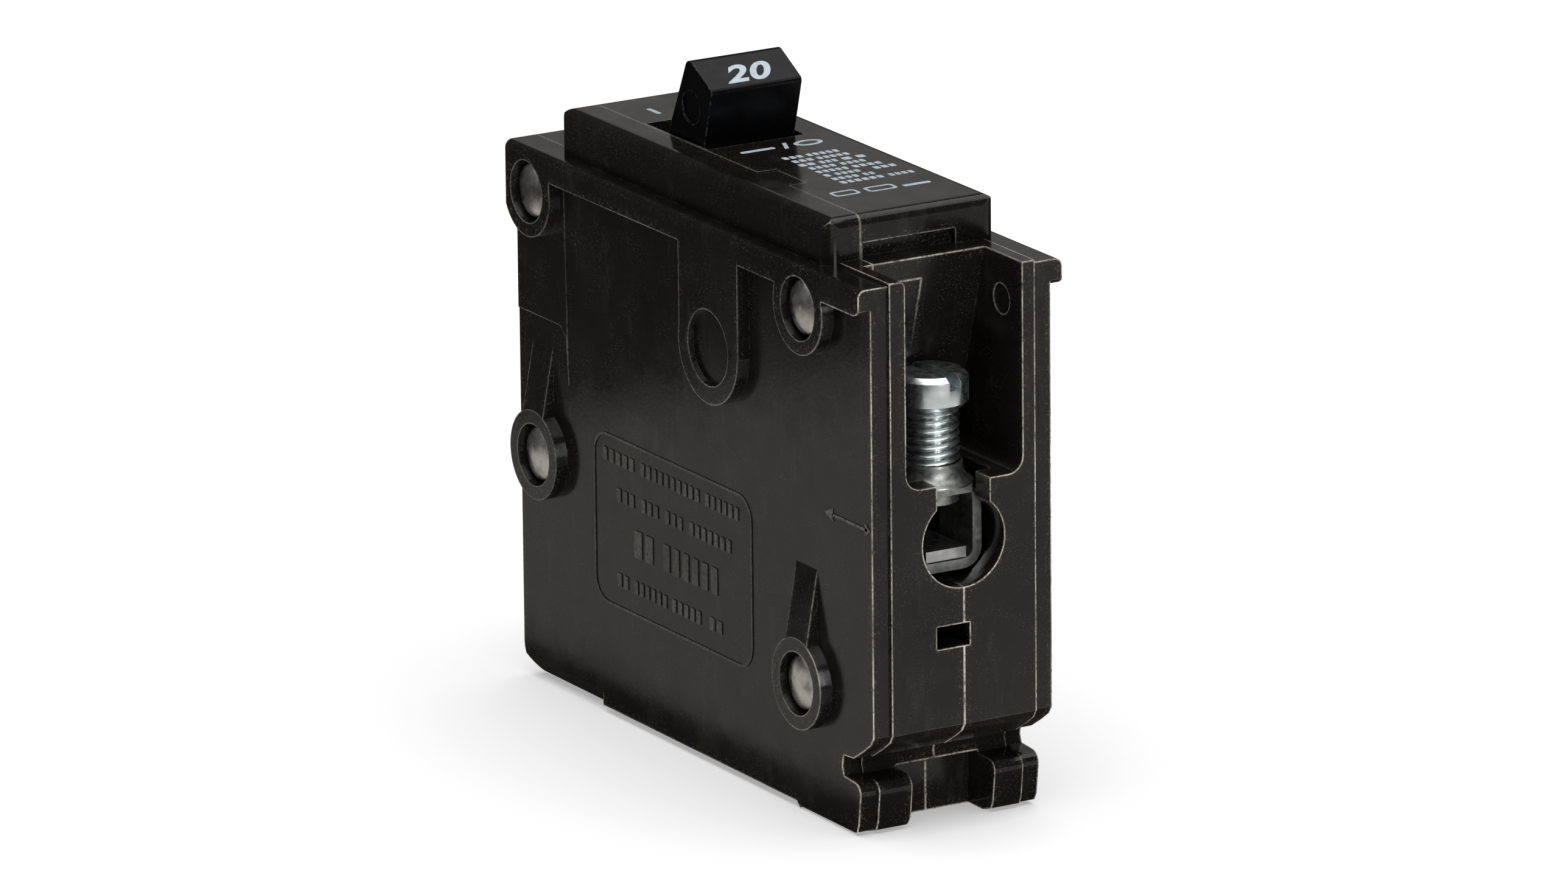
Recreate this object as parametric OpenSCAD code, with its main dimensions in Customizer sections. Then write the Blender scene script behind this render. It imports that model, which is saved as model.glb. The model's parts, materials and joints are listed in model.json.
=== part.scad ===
// Single-pole plug-on thermal-magnetic circuit breaker, one inch wide.
// Frame: origin under the middle of the body, +X towards the load end (wire lug),
// +Y across the width, +Z up through the handle. Millimetres. The handle rests at OFF.

/* [Case] */
// Length of the case from line end to load end
case_length = 75.7; // [75:0.1:77]
// Full width over the raised side lands
case_width = 25.4; // [25:0.1:26]
// Height of the shoulder above the lowest foot
shoulder_z = 61.65; // [61.4:0.05:62]
// Height of the raised escutcheon above the shoulder
escutcheon_rise = 5.17; // [4.8:0.01:5.4]
// How far the side lands stand proud of the recessed side face
land_rise = 1.5; // [1:0.1:1.8]
// Thickness of the side walls behind the recessed face
side_wall = 2; // [1.6:0.1:2.2]

/* [Handle] */
// Width of the handle grip
handle_width = 11.4; // [10.5:0.1:11.6]
// Height of the handle's tip above the shoulder
handle_rise = 14.06; // [12:0.01:15]
// Radius of the drum that closes the handle slot
drum_r = 6.3; // [6:0.1:6.3]

/* [Terminal] */
// Radius of the wire entry in the load end
wire_r = 5.1; // [4.9:0.05:5.2]
// Radius of the terminal screw's thread
screw_r = 3.17; // [3:0.01:3.2]
// Radius of the terminal screw's head
screw_head_r = 4.17; // [3.8:0.01:4.2]

/* [Rivets] */
// Radius of the counterbore around each rivet
rivet_recess_r = 3.5; // [3.4:0.05:3.6]
// Radius of the rivet shank
rivet_r = 1.8; // [1.5:0.1:1.9]

/* [Hidden] */
$fn = 64;
eps = 0.01;

// Case levels and planes
half_l = case_length / 2;
half_w = case_width / 2;
face_y = half_w - land_rise;          // recessed side face
cavity_y = face_y - side_wall;        // inside of the side walls
spine_y = 9.05;                       // the end and ledge stand proud inside this
spine_rise = 0.35;
body_z = 0.8;                         // underside of the case above the foot
top_z = shoulder_z + escutcheon_rise;
esc_y = 10.6;                         // half width of the escutcheon
esc_x0 = -29.1;                       // its line end
esc_x1 = 27.6;                        // its load end
esc_round = 1.55;                     // its edge rounding
seam_y = -6.4;                        // where cover meets base along the top
deck_z = 59.45;                       // underside of the top deck
ceiling_z = top_z - 1.4;              // underside of the escutcheon's roof
band_z = 58.7;                        // lower edge of the top land
cavity_x0 = -35.8;                    // inside of the line end wall
floor_z = 3;                          // inside of the bottom wall

// Side lands: [x, z, recess radius, land radius] at each rivet
rivet_tl = [-33.3, 56.7];
rivet_tr = [24.9, 56.85];
rivet_ml = [-32.6, 26.75];
rivet_br = [23.9, 14.85];
rivets = [rivet_tl, rivet_tr, rivet_ml, rivet_br];
land_r = 5.1;
post_r = 3.6;
blind = [5.9, 48.05];                 // shallow round mark with no rivet
blind_r = 4.22;
blind_land_r = 6.3;
recess_depth = 2.1;                   // counterbore below the land
rivet_head_r = 3.05;

// Handle
pivot = [-11.45, shoulder_z - 1.4];   // handle pivot, x and z
handle_y = handle_width / 2;
trunnion_r = 1.8;
trunnion_y = 8.4;
slot_x0 = -18.15;                     // slot in the escutcheon
slot_x1 = -4.85;
slot_y = 6.1;
notch_dist = 4;                       // handle pivot to contact arm pivot
off_lean = 21.65;                     // lean of the handle from upright at OFF
skirt_r = 4;                          // inside of the drum's skirt
slot_half = 2;                        // half width of the drum's middle slot

// Contact arm, drawn hanging at its OFF angle from its pivot
arm_off = 5;                          // angle from straight down at OFF
arm_on = 23.8;                        // angle from straight down at ON
arm_len = 25;
arm_pivot = pivot + notch_dist * [-sin(off_lean), -cos(off_lean)];
on_lean = 11.35;                      // lean the other way at ON
arm_pivot_on = pivot + notch_dist * [sin(on_lean), -cos(on_lean)];
contact_along = 22;                   // pivot to contact, along the arm
leg_y0 = 2.7;
leg_y1 = 3.7;
web_face = 2;                         // contact side of the arm from its middle line
contact_t = 1.2;

// Trip cradle
cradle_pivot = [-25.5, 52.8];
cradle_hook = [-11.3, 58.3];
cradle_tip = [12.45, 45.4];
cradle_y = 0.8;
pin_r = 1.2;
fit_gap = 0.05;

// Trip unit
armature_x = 12.6;
armature_t = 1.2;
armature_pivot = [13.2, 31];
bimetal_x = 17.2;
bimetal_t = 0.8;
strap_t = 1.2;
strap_z = 29.24;                      // underside of the strap's lug tongue
strap_y = 2.5;                        // its half width

// Lug and terminal screw
screw_x = 31.1;
pocket_floor = 38.8;
pocket_y0 = -7.1;
pocket_y1 = 7.45;
pocket_x0 = 23.8;                     // back wall at the floor, and at the top
pocket_x1 = 30.25;
neck_y = 3.3;
wire_z = 32.25;
collar_y = 4.3;
collar_x0 = 27.7;
collar_x1 = 34.45;
collar_t = 1.1;
collar_top = 37.55;
boss_top = 39.75;
screw_point_r = 2.2;                  // dog point that turns in the pressure pad
pad_z = 35.3;                         // underside of the pressure pad
pad_t = 1.2;
end_wall_x = 34.95;                   // inside of the load end wall
chamber_y = 5.15;
chamber_x0 = 24.4;

// Ears of the rail foot, on either side of this gap
ear_y0 = -4.9;
ear_y1 = 5.4;

// Line jaw
jaw_x0 = -33;
jaw_x1 = -21;
jaw_slot_y = 2.4;
jaw_slot_x1 = -19.6;
jaw_slot_z = 15;

// ---------- helpers ----------

// A flat outline in x and z, given thickness from y0 to y1
module slab(y0, y1) {
    translate([0, y1, 0]) rotate([90, 0, 0]) linear_extrude(height = y1 - y0) children();
}

// An outline in y and z, run along x from x0 to x1
module run_x(x0, x1) {
    translate([x0, 0, 0]) rotate([90, 0, 90]) linear_extrude(height = x1 - x0) children();
}

// A round bar across the width from y0 to y1, centred at c = [x, z]
module bar_y(c, r, y0, y1) {
    translate([c.x, y1, c.y]) rotate([90, 0, 0]) cylinder(r = r, h = y1 - y0);
}

// A round bar along x
module bar_x(x0, x1, y, z, r) {
    translate([x0, y, z]) rotate([0, 90, 0]) cylinder(r = r, h = x1 - x0);
}

// A plain block from its low corner to its high corner
module block(a, b) {
    translate(a) cube(b - a);
}

// Points of an arc about c, from angle a0 to a1 in degrees
function arc(c, r, a0, a1, n = 8) =
    [for (i = [0:n]) c + r * [cos(a0 + (a1 - a0) * i / n), sin(a0 + (a1 - a0) * i / n)]];

// Profile points of a shallow dome of radius r, from its rim at height z up to the axis
function dome(r, z, rise, n = 6) =
    let (ball = (r * r + rise * rise) / (2 * rise), reach = asin(r / ball))
    [for (i = [0:n]) let (a = reach * (1 - i / n)) [ball * sin(a), z + rise - ball * (1 - cos(a))]];

// A rectangle in its own plane with two rounded top corners
module round_top(w, z0, z1, r) {
    polygon(concat([[-w, z0], [w, z0]], arc([w - r, z1 - r], r, 0, 90),
                   arc([-w + r, z1 - r], r, 90, 180)));
}

function unit(v) = v / norm(v);
function reversed(list) = [for (i = [len(list) - 1:-1:0]) list[i]];

// One edge of a strip that follows the points, at distance d to their left, mitred at the bends
function strip_edge(points, d) =
    [for (i = [0:len(points) - 1])
     let (before = unit(points[max(i, 1)] - points[max(i, 1) - 1]),
          after = unit(points[min(i + 1, len(points) - 1)] - points[min(i, len(points) - 2)]),
          left = [-before.y, before.x],
          mitre = unit(left + [-after.y, after.x]))
     points[i] + d / (mitre * left) * mitre];

// A strip of even thickness bent through the points
module bent_strip(points, t) {
    polygon(concat(strip_edge(points, t / 2), reversed(strip_edge(points, -t / 2))));
}

// A round wire swept along points as one closed polyhedron
module wire(points, r, sides = 8) {
    n = len(points);
    function tangent(i) = unit(points[min(i + 1, n - 1)] - points[max(i - 1, 0)]);
    function side_of(t) = unit(cross(t, abs(t.y) < 0.9 ? [0, 1, 0] : [1, 0, 0]));
    rings = [for (i = [0:n - 1]) let (t = tangent(i), u = side_of(t), v = cross(t, u))
             for (k = [0:sides - 1]) let (a = 360 * k / sides)
             points[i] + r * (cos(a) * u + sin(a) * v)];
    skin = [for (i = [0:n - 2]) for (k = [0:sides - 1])
            let (a = i * sides + k, b = i * sides + (k + 1) % sides)
            for (face = [[a, b, b + sides], [a, b + sides, a + sides]]) face];
    first = [for (k = [sides - 1:-1:0]) k];
    last = [for (k = [0:sides - 1]) (n - 1) * sides + k];
    polyhedron(points = rings, faces = concat(skin, [first], [last]), convexity = 8);
}

// Moves a helix built along +Z so that it runs from a to b, both [x, z] in the y = 0 plane
function coil_points(a, b, r, turns, per_turn = 14) =
    let (d = b - a, len = norm(d), u = d / len, side = [-u.y, u.x], n = turns * per_turn)
    [for (i = [0:n]) let (f = i / n, w = 360 * turns * f, p = a + len * f * u
                                + r * cos(w) * side)
     [p.x, r * sin(w), p.y]];

// ---------- case ----------

// Side view of the case, with the rail hook at the load end and the foot beneath it
module body_outline(end_x) {
    polygon(concat(
        [[-half_l, shoulder_z], [end_x, shoulder_z], [end_x, 11.9], [end_x - 0.6, 11]],
        [[35.4, 9.95], [33.3, 8.65], [31.2, 8.5], [30.95, 7.2], [31.25, 6.2], [32.8, 6.1]],
        arc([33.5, 4.85], 1.2, 80, -10, 4),
        [[34.3, 1.4], [33.9, 0.5], [32.3, 0], [22.2, 0], [21.3, body_z], [-35.2, body_z]],
        arc([-half_l + 3.1, body_z + 3.1], 3.1, 260, 180, 6)));
}

// The raised land along the top edge of one side, with its round landings
module side_land() {
    translate([0, band_z]) difference() {
        square([half_l, shoulder_z - band_z]);
        translate([half_l - 1.6, 0]) difference() {
            square([2, 1.6]);
            translate([0, 1.6]) circle(r = 1.6);
        }
    }
    translate([-half_l, band_z]) square([half_l + 1, shoulder_z - band_z]);
    intersection() {
        translate([-half_l, 0]) square([case_length, shoulder_z]);
        for (c = rivets) translate(c) circle(r = land_r);
    }
    // webs that tie the landings to the band
    translate([rivet_tl.x - 4.6, rivet_tl.y]) square([9.6, 4]);
    translate([rivet_tr.x - 4.4, rivet_tr.y]) square([9.3, 4]);
    translate(blind) circle(r = blind_land_r);
    translate([-0.25, blind.y]) square([12.55, shoulder_z - blind.y - 1]);
}

// A wedge on each side that ramps up from the recessed face to a landing's full height
module ramp(c, top) {
    w = 2.2;
    foot = c.y + land_r - 0.6;
    for (s = [-1, 1]) scale([1, s, 1]) run_x(c.x - w, c.x + w)
        polygon([[face_y - 0.3, foot], [half_w, foot], [face_y, top], [face_y - 0.3, top]]);
}

// Outside of the whole case, before the halves are parted and hollowed
module case_outside() {
    slab(-face_y, face_y) body_outline(half_l - spine_rise);
    slab(-spine_y, spine_y) intersection() {
        translate([spine_rise, 0]) body_outline(half_l - spine_rise);
        translate([30, 0]) square([half_l, shoulder_z]);
    }
    // ledge in front of the escutcheon stands a little above the shoulders
    block([esc_x1 - 1, -spine_y, shoulder_z - 1], [half_l, spine_y, shoulder_z + spine_rise]);
    // shoulders with their rounded outer edges, and the side lands under them
    run_x(-half_l, half_l - spine_rise) round_top(half_w, band_z + 0.9, shoulder_z, 0.9);
    for (s = [-1, 1]) scale([1, s, 1]) slab(-half_w, -face_y + 0.3) intersection() {
        side_land();
        translate([-half_l, 0]) square([case_length - spine_rise, shoulder_z - 0.9]);
    }
    ramp(rivet_ml, 39.4);
    ramp(rivet_br, 27.9);
    escutcheon();
    // faint step across the line end of the recessed face
    for (s = [-1, 1]) scale([1, s, 1]) slab(-face_y - 0.12, -face_y + 0.2)
        polygon([[-half_l, 42.3], [-28.6, 42.3], [-27.3, 41.2], [-26.9, 35.8], [-27.4, band_z],
                 [-half_l, band_z]]);
}

// The raised escutcheon around the handle, all its upper edges rounded
module escutcheon() {
    intersection() {
        run_x(esc_x0, esc_x1) round_top(esc_y, shoulder_z - 1, top_z, esc_round);
        slab(-esc_y, esc_y) translate([(esc_x0 + esc_x1) / 2, 0])
            round_top((esc_x1 - esc_x0) / 2, shoulder_z - 1, top_z, 1.1);
        translate([0, 0, shoulder_z - 1]) linear_extrude(height = 10) polygon(concat(
            arc([esc_x1 - esc_round, esc_y - esc_round], esc_round, 0, 90),
            arc([esc_x0 + 1, esc_y - 1], 1, 90, 180),
            arc([esc_x0 + 1, -esc_y + 1], 1, 180, 270),
            arc([esc_x1 - esc_round, -esc_y + esc_round], esc_round, 270, 360)));
    }
}

// Everything cut out of the case: mechanism cavity, lug pocket, wire entry and openings
module case_cuts() {
    difference() {
        slab(-cavity_y, cavity_y) polygon([
            [cavity_x0, floor_z + 15.5], [cavity_x0, deck_z], [27.1, deck_z], [22.7, 40],
            [22.7, 25.6], [end_wall_x - 0.6, 25.6], [end_wall_x - 0.6, 14.5], [26.9, 12.6],
            [26.9, floor_z], [jaw_slot_x1 + 1.6, floor_z], [jaw_slot_x1 + 1.6, floor_z + 15.5]]);
        for (c = rivets) bar_y(c, post_r, -half_w, half_w);
        bar_y(cradle_pivot, 3, -half_w, -cradle_y - 0.3);
        bar_y(cradle_pivot, 3, cradle_y + 0.3, half_w);
        for (s = [-1, 1]) scale([1, s, 1]) bar_y(pivot, 3.4, handle_y + 0.3, half_w);
        for (s = [-1, 1]) scale([1, s, 1]) bar_y(armature_pivot, 2.2, 4.8, half_w);
        calibration_rib();
    }
    // room under the escutcheon
    difference() {
        block([esc_x0 + 1.6, -esc_y + 1.7, deck_z - eps], [esc_x1 - 1.6, esc_y - 1.7, ceiling_z]);
        for (s = [-1, 1]) scale([1, s, 1]) bar_y(pivot, 3.4, handle_y + 0.3, half_w);
    }
    handle_cuts();
    lug_cuts();
    jaw_cuts();
    rivet_cuts();
    bar_y(cradle_pivot, pin_r, -cavity_y - 1, cavity_y + 1);
    bar_y(armature_pivot, pin_r - 0.2, -7.5, 7.5);
    bar_x(20, 27, -1.35, 21.9, 1.6);
    // undercut below the escutcheon's nose
    block([esc_x1 - 0.8, -6.15, shoulder_z + spine_rise], [esc_x1 + 1, 5.4, shoulder_z + 2.1]);
    // round ejector mark on the far wall of the pocket
    bar_y([33.65, 57], 1.65, pocket_y1 - 1, pocket_y1 + 0.2);
    // bevel along the lower edges of the line end
    for (s = [-1, 1]) scale([1, s, 1]) run_x(-half_l - 1, -20.35)
        polygon([[face_y + 0.1, 2.6], [face_y + 0.1, -1], [face_y - 2, -1]]);
    // small access window to the calibration screw
    block([end_wall_x - 2, -3.4, 20.65], [half_l + 1, 0.7, 23.15]);
    // recess between the two ears of the rail foot, and the rounded corners of the ears
    block([29.6, ear_y0, -1], [half_l, ear_y1, 6.4]);
    run_x(29.6, half_l) corner_cut([ear_y0, 0], [-1, 1], 1.2);
    for (s = [-1, 1]) run_x(22, half_l) corner_cut([s * face_y, 0], [-s, 1], 0.9);
}

// Section that rounds off the corner at c to radius r, where the solid lies towards dir
module corner_cut(c, dir, r) {
    translate(c) scale(dir) difference() {
        translate([-1, -1]) square(r + 1);
        translate([r, r]) circle(r = r);
    }
}

// Rib that carries the calibration screw
module calibration_rib() {
    block([22.7, -half_w, 18.4], [25.4, half_w, 26]);
}

// Handle slot in the escutcheon and the bearings of the handle
module handle_cuts() {
    block([slot_x0, -slot_y, deck_z - 1], [slot_x1, slot_y, top_z + 1]);
    bar_y(pivot, trunnion_r + fit_gap, -trunnion_y - 0.3, trunnion_y + 0.3);
}

// Screw pocket, lug chamber, neck and wire entry in the load end
module lug_cuts() {
    r = 1.8;
    intersection() {
        run_x(20, half_l + 1) polygon(concat(
            [[pocket_y1, 70], [pocket_y0, 70]],
            arc([pocket_y0 + r, pocket_floor + r], r, 180, 270),
            arc([pocket_y1 - r, pocket_floor + r], r, 270, 360)));
        slab(-half_w, half_w) polygon([[pocket_x1, 70], [pocket_x1, shoulder_z + spine_rise],
                                       [pocket_x0, pocket_floor], [pocket_x0, 38], [half_l + 1, 38],
                                       [half_l + 1, 70]]);
    }
    block([chamber_x0, -chamber_y, 27.1], [end_wall_x, chamber_y, pocket_floor + 1]);
    block([end_wall_x - 1, -neck_y, wire_z], [half_l + 1, neck_y, pocket_floor + 1]);
    bar_x(end_wall_x - 1, half_l + 1, 0, wire_z, wire_r);
    // rounded top edge of the pocket's near wall
    run_x(pocket_x1, half_l + 1) corner_cut([pocket_y0, shoulder_z + spine_rise], [-1, -1], 0.7);
    // passage for the load strap into the mechanism
    block([22, -3, strap_z - 0.3], [chamber_x0 + 1, 3, strap_z + strap_t + 0.3]);
}

// Room for the jaw, and the slot through which the bus stab enters
module jaw_cuts() {
    block([cavity_x0 + 0.8, -5.4, floor_z], [jaw_slot_x1, 5.4, floor_z + 16]);
    block([-half_l - 1, -jaw_slot_y, -1], [jaw_slot_x1, jaw_slot_y, jaw_slot_z]);
}

// Counterbores and bores for the rivets, and the shallow blind marks
module rivet_cuts() {
    for (c = rivets) {
        bar_y(c, rivet_r + fit_gap, -half_w - 1, half_w + 1);
        for (s = [-1, 1]) scale([1, s, 1]) bar_y(c, rivet_recess_r, half_w - recess_depth, half_w + 1);
    }
    for (s = [-1, 1]) scale([1, s, 1]) bar_y(blind, blind_r, half_w - 0.7, half_w + 1);
}

// The part of space that belongs to the base: the far side, and the top as far as the seam
module base_region() {
    block([-50, 0, -5], [50, 20, 80]);
    block([-50, seam_y - 2.3, deck_z], [esc_x0, 1, 80]);
    difference() {
        block([-50, seam_y, deck_z], [50, 1, 80]);
        block([6.2, seam_y - 1, ceiling_z - 1], [12.8, seam_y + 2.2, 80]);
        block([pocket_x1, seam_y - 1, deck_z - 1], [50, 1, 80]);
        // the near bearing boss of the handle belongs to the cover
        block([pivot.x - 4, seam_y - 1, deck_z - 1], [pivot.x + 4, -handle_y, ceiling_z - eps]);
    }
}

module base() {
    color([0.16, 0.15, 0.14]) intersection() {
        difference() {
            case_outside();
            case_cuts();
        }
        base_region();
    }
}

module cover() {
    color([0.18, 0.17, 0.16]) difference() {
        case_outside();
        case_cuts();
        base_region();
    }
}

// One solid rivet along the width, with a low domed head at each end
module rivet(c) {
    seat = half_w - recess_depth;
    rim = 1.3;
    crown = 0.45;
    bar_y(c, rivet_r, -seat - 0.1, seat + 0.1);
    for (s = [-1, 1]) scale([1, s, 1]) translate([c.x, seat, c.y]) rotate([-90, 0, 0])
        rotate_extrude() polygon(concat([[0, 0], [rivet_head_r - 0.05, 0], [rivet_head_r, rim - 0.2]],
                                        dome(rivet_head_r - 0.15, rim, crown)));
}

module case_rivets() {
    color([0.62, 0.62, 0.6]) for (c = rivets) rivet(c);
}

// ---------- handle and contacts ----------

// Side view of the grip: a leaning block with a sloping top and rounded tip corners
module handle_outline() {
    tip = pivot + [2.15, handle_rise + 1.4 - 0.95];
    nose = pivot + [6.2, handle_rise + 1.4 - 2.75];
    polygon(concat([pivot + [-3.5, 4], pivot + [-2.5, 6.6]], arc(tip, 0.95, 155, 67, 5),
                   arc(nose, 0.6, 67, -13, 4), [pivot + [5.15, 6.6], pivot + [4.6, 1]]));
}

// Socket for a tip of the contact arm, long enough for the tip's path and open over its swing
module arm_socket() {
    r = 0.95;
    at_off = 270 - arm_off;
    at_on = 270 - arm_on - off_lean - on_lean;
    circle(r = r);
    rotate(90 - off_lean) translate([0, -r]) square([0.4, 2 * r]);
    translate(0.4 * [sin(off_lean), cos(off_lean)]) circle(r = r);
    polygon([r * [cos(at_on - 90), sin(at_on - 90)], 7 * [cos(at_on - 14), sin(at_on - 14)],
             7 * [cos(240), sin(240)], 7 * [cos(at_off + 10), sin(at_off + 10)],
             r * [cos(at_off + 90), sin(at_off + 90)]]);
}

module handle() {
    color([0.07, 0.07, 0.09]) difference() {
        union() {
            slab(-handle_y, handle_y) {
                handle_outline();
                translate(pivot) circle(r = drum_r);
            }
            bar_y(pivot, trunnion_r, -trunnion_y, trunnion_y);
        }
        // middle slot for the cradle and the spring, leaving the skirt above
        slab(-slot_half, slot_half) {
            translate(pivot) circle(r = skirt_r);
            translate(pivot) polygon([[0, 0], 12 * [cos(20), sin(20)], [12, -12], [-12, -12],
                                      12 * [cos(170), sin(170)]]);
        }
        for (s = [-1, 1]) scale([1, s, 1]) slab(leg_y0 - 0.2, leg_y1 + 0.2) translate(arm_pivot)
            arm_socket();
        // blind round mark on each flank
        for (s = [-1, 1]) scale([1, s, 1])
            bar_y([-9.1, shoulder_z + 8.9], 1.85, handle_y - 0.25, handle_y + 1);
    }
}

// Draws an outline given along the arm (x = across towards the contact, y = down the arm)
module along_arm() {
    translate(arm_pivot) rotate(-arm_off) scale([-1, -1]) children();
}

module contact_arm() {
    color([0.72, 0.45, 0.25]) {
        for (s = [-1, 1]) scale([1, s, 1]) slab(leg_y0, leg_y1) along_arm() {
            circle(r = 0.8);
            polygon([[0.8, 0], [web_face, 9], [web_face, arm_len], [-1.4, arm_len], [-1.4, 9],
                     [-0.8, 0]]);
        }
        slab(-leg_y1, leg_y1) along_arm() polygon([[web_face, 15.5], [web_face, arm_len],
                                                   [web_face - 1, arm_len], [web_face - 1, 15.5]]);
        // lip that the spring hooks under
        slab(-0.9, 0.9) along_arm() polygon([[web_face, 13.9], [web_face, 15.6],
                                             [web_face - 1, 15.6], [web_face - 1, 13.9]]);
    }
}

module moving_contact() {
    middle = arm_pivot + rotate_in_plane([-web_face, -contact_along], -arm_off);
    color([0.85, 0.84, 0.8]) translate([middle.x, 0, middle.y]) rotate([0, -90 + arm_off, 0])
        cylinder(r = 2.2, h = contact_t);
}

function rotate_in_plane(p, a) = [p.x * cos(a) - p.y * sin(a), p.x * sin(a) + p.y * cos(a)];

// The latched lever: eye on its pin, arm over the handle's pivot, and the latching tip
module trip_cradle() {
    color([0.6, 0.6, 0.62]) difference() {
        union() {
            bar_y(cradle_pivot, 2.3, -cradle_y, cradle_y);
            slab(-cradle_y, cradle_y) bent_strip(
                [cradle_pivot + [1.5, 0.6], cradle_hook, [-2, 57.1], [8, 50.5], cradle_tip], 1.9);
        }
        bar_y(cradle_pivot, pin_r + fit_gap, -2, 2);
        // hole for the hook of the operating spring
        bar_y(cradle_hook + [0, -0.1], 0.45, -2, 2);
    }
}

module cradle_pin() {
    color([0.7, 0.7, 0.72]) bar_y(cradle_pivot, pin_r, -cavity_y - 0.8, cavity_y + 0.8);
}

module operating_spring() {
    low = arm_pivot + rotate_in_plane([-web_face + 0.5, -13.5], -arm_off);
    high = cradle_hook + [0, -0.4];
    u = unit(high - low);
    from = low + 1.2 * u;
    to = high - 1.6 * u;
    turns = 13;
    body = coil_points(from, to, 1.25, turns);
    tail_low = [[low.x, 0, low.y], [low.x + 0.4 * u.x, 0.3, low.y + 0.4 * u.y]];
    tail_high = [[high.x - 0.5 * u.x, 0.2, high.y - 0.5 * u.y], [high.x, 0, high.y]];
    color([0.75, 0.75, 0.78]) wire(concat(tail_low, body, tail_high), 0.25, 6);
}

// ---------- trip unit ----------

module bimetal() {
    color([0.7, 0.62, 0.5]) block([bimetal_x, -3, 20], [bimetal_x + bimetal_t, 3, 50]);
}

module magnet_yoke() {
    x0 = 14.9;
    x1 = bimetal_x + bimetal_t + 1.5;
    color([0.45, 0.45, 0.47]) difference() {
        block([x0, -5, 32.6], [x1, 5, 41]);
        block([x0 - 1, -3.6, 32], [bimetal_x + bimetal_t, 3.6, 42]);
    }
}

module armature() {
    color([0.5, 0.5, 0.53]) difference() {
        union() {
            block([armature_x, -4.5, 31], [armature_x + armature_t, 4.5, 48]);
            bar_y(armature_pivot, 1.7, -4.5, 4.5);
        }
        bar_y(armature_pivot, pin_r - 0.2 + fit_gap, -5, 5);
        // latch window under which the cradle tip is held
        block([armature_x - 1, -1.6, 44.4], [armature_x + 2, 1.6, 46.6]);
    }
}

module armature_pin() {
    color([0.7, 0.7, 0.72]) bar_y(armature_pivot, pin_r - 0.2, -7.3, 7.3);
}

module armature_spring() {
    color([0.75, 0.75, 0.78]) wire(coil_points([armature_x + armature_t + 0.3, 36.6],
                                               [bimetal_x - 0.3, 36.6], 1.2, 4, 16), 0.25, 8);
}

module calibration_screw() {
    color([0.72, 0.74, 0.76]) difference() {
        union() {
            bar_x(19.3, 26.2, -1.35, 21.9, 1.5);
            bar_x(26.2, 27.6, -1.35, 21.9, 2.2);
        }
        block([26.9, -1.75, 19], [28, -0.95, 25]);
    }
}

module load_strap() {
    x_leg = bimetal_x + bimetal_t;
    color([0.75, 0.47, 0.28]) {
        block([x_leg, -strap_y, strap_z], [34.2, strap_y, strap_z + strap_t]);
        block([x_leg, -strap_y, 18.2], [x_leg + strap_t, strap_y, strap_z + strap_t]);
    }
}

// ---------- lug ----------

module lug_collar() {
    r = 2.2;
    z0 = 28.05;
    color([0.66, 0.67, 0.67]) difference() {
        union() {
            difference() {
                run_x(collar_x0, collar_x1) polygon(concat(
                    [[collar_y, 36.4], [-collar_y, 36.4]],
                    arc([-collar_y + r, z0 + r], r, 180, 270),
                    arc([collar_y - r, z0 + r], r, 270, 360)));
                run_x(collar_x0 - 1, collar_x1 + 1) polygon(concat(
                    [[collar_y - collar_t, 40], [-collar_y + collar_t, 40]],
                    arc([-collar_y + r, z0 + r], r - collar_t, 180, 270),
                    arc([collar_y - r, z0 + r], r - collar_t, 270, 360)));
            }
            block([collar_x0, -collar_y, 36.4 - eps], [collar_x1, collar_y - collar_t, collar_top]);
            block([collar_x0, 0, 36.4 - 1.1], [collar_x1 - 3, collar_y, collar_top - 0.6]);
            // pierced boss that carries the thread, flared where it leaves the plate
            translate([screw_x, 0, collar_top]) rotate_extrude() polygon(concat(
                [[0, -0.2], [4.6, -0.2], [4.6, 0]], arc([5.1, 1.6], 1.6, 250, 180, 5),
                [[3.45, boss_top - collar_top], [0, boss_top - collar_top]]));
        }
        translate([screw_x, 0, 30]) cylinder(r = screw_r + fit_gap, h = 12);
        // trims the flare of the boss beside the collar's walls
        block([collar_x0 - 1, collar_y - collar_t + 0.35, collar_top],
              [collar_x1 + 1, collar_y + 2, boss_top - 1]);
        block([collar_x0 - 1, -collar_y - 2, collar_top], [collar_x1 + 1, -collar_y, boss_top - 1]);
    }
}

module terminal_screw() {
    rim_z = 49.1;
    top_flat_z = 49.65;
    neck_z = 46;
    slot_w = 1.5;
    tip_z = pad_z + pad_t / 2;
    color([0.78, 0.82, 0.85]) difference() {
        translate([screw_x, 0, 0]) rotate_extrude() polygon(concat(
            [[0, tip_z], [screw_point_r, tip_z], [screw_point_r, tip_z + 0.8],
             [screw_r, tip_z + 1.5], [screw_r, neck_z], [screw_head_r - 0.4, neck_z],
             [screw_head_r, neck_z + 0.4], [screw_head_r, rim_z]],
            dome(screw_head_r - 0.55, top_flat_z, 0.12)));
        // screwdriver slot
        translate([screw_x, 0, rim_z - 0.9]) rotate([0, 0, 10])
            block([-6, -slot_w / 2, 0], [6, slot_w / 2, 5]);
    }
}

module pressure_pad() {
    color([0.7, 0.7, 0.7]) difference() {
        translate([screw_x, 0, pad_z]) cylinder(r = 3, h = pad_t);
        // seat of the screw's dog point
        translate([screw_x, 0, pad_z + pad_t / 2 - fit_gap]) cylinder(r = screw_point_r + fit_gap, h = 2);
    }
}

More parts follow.
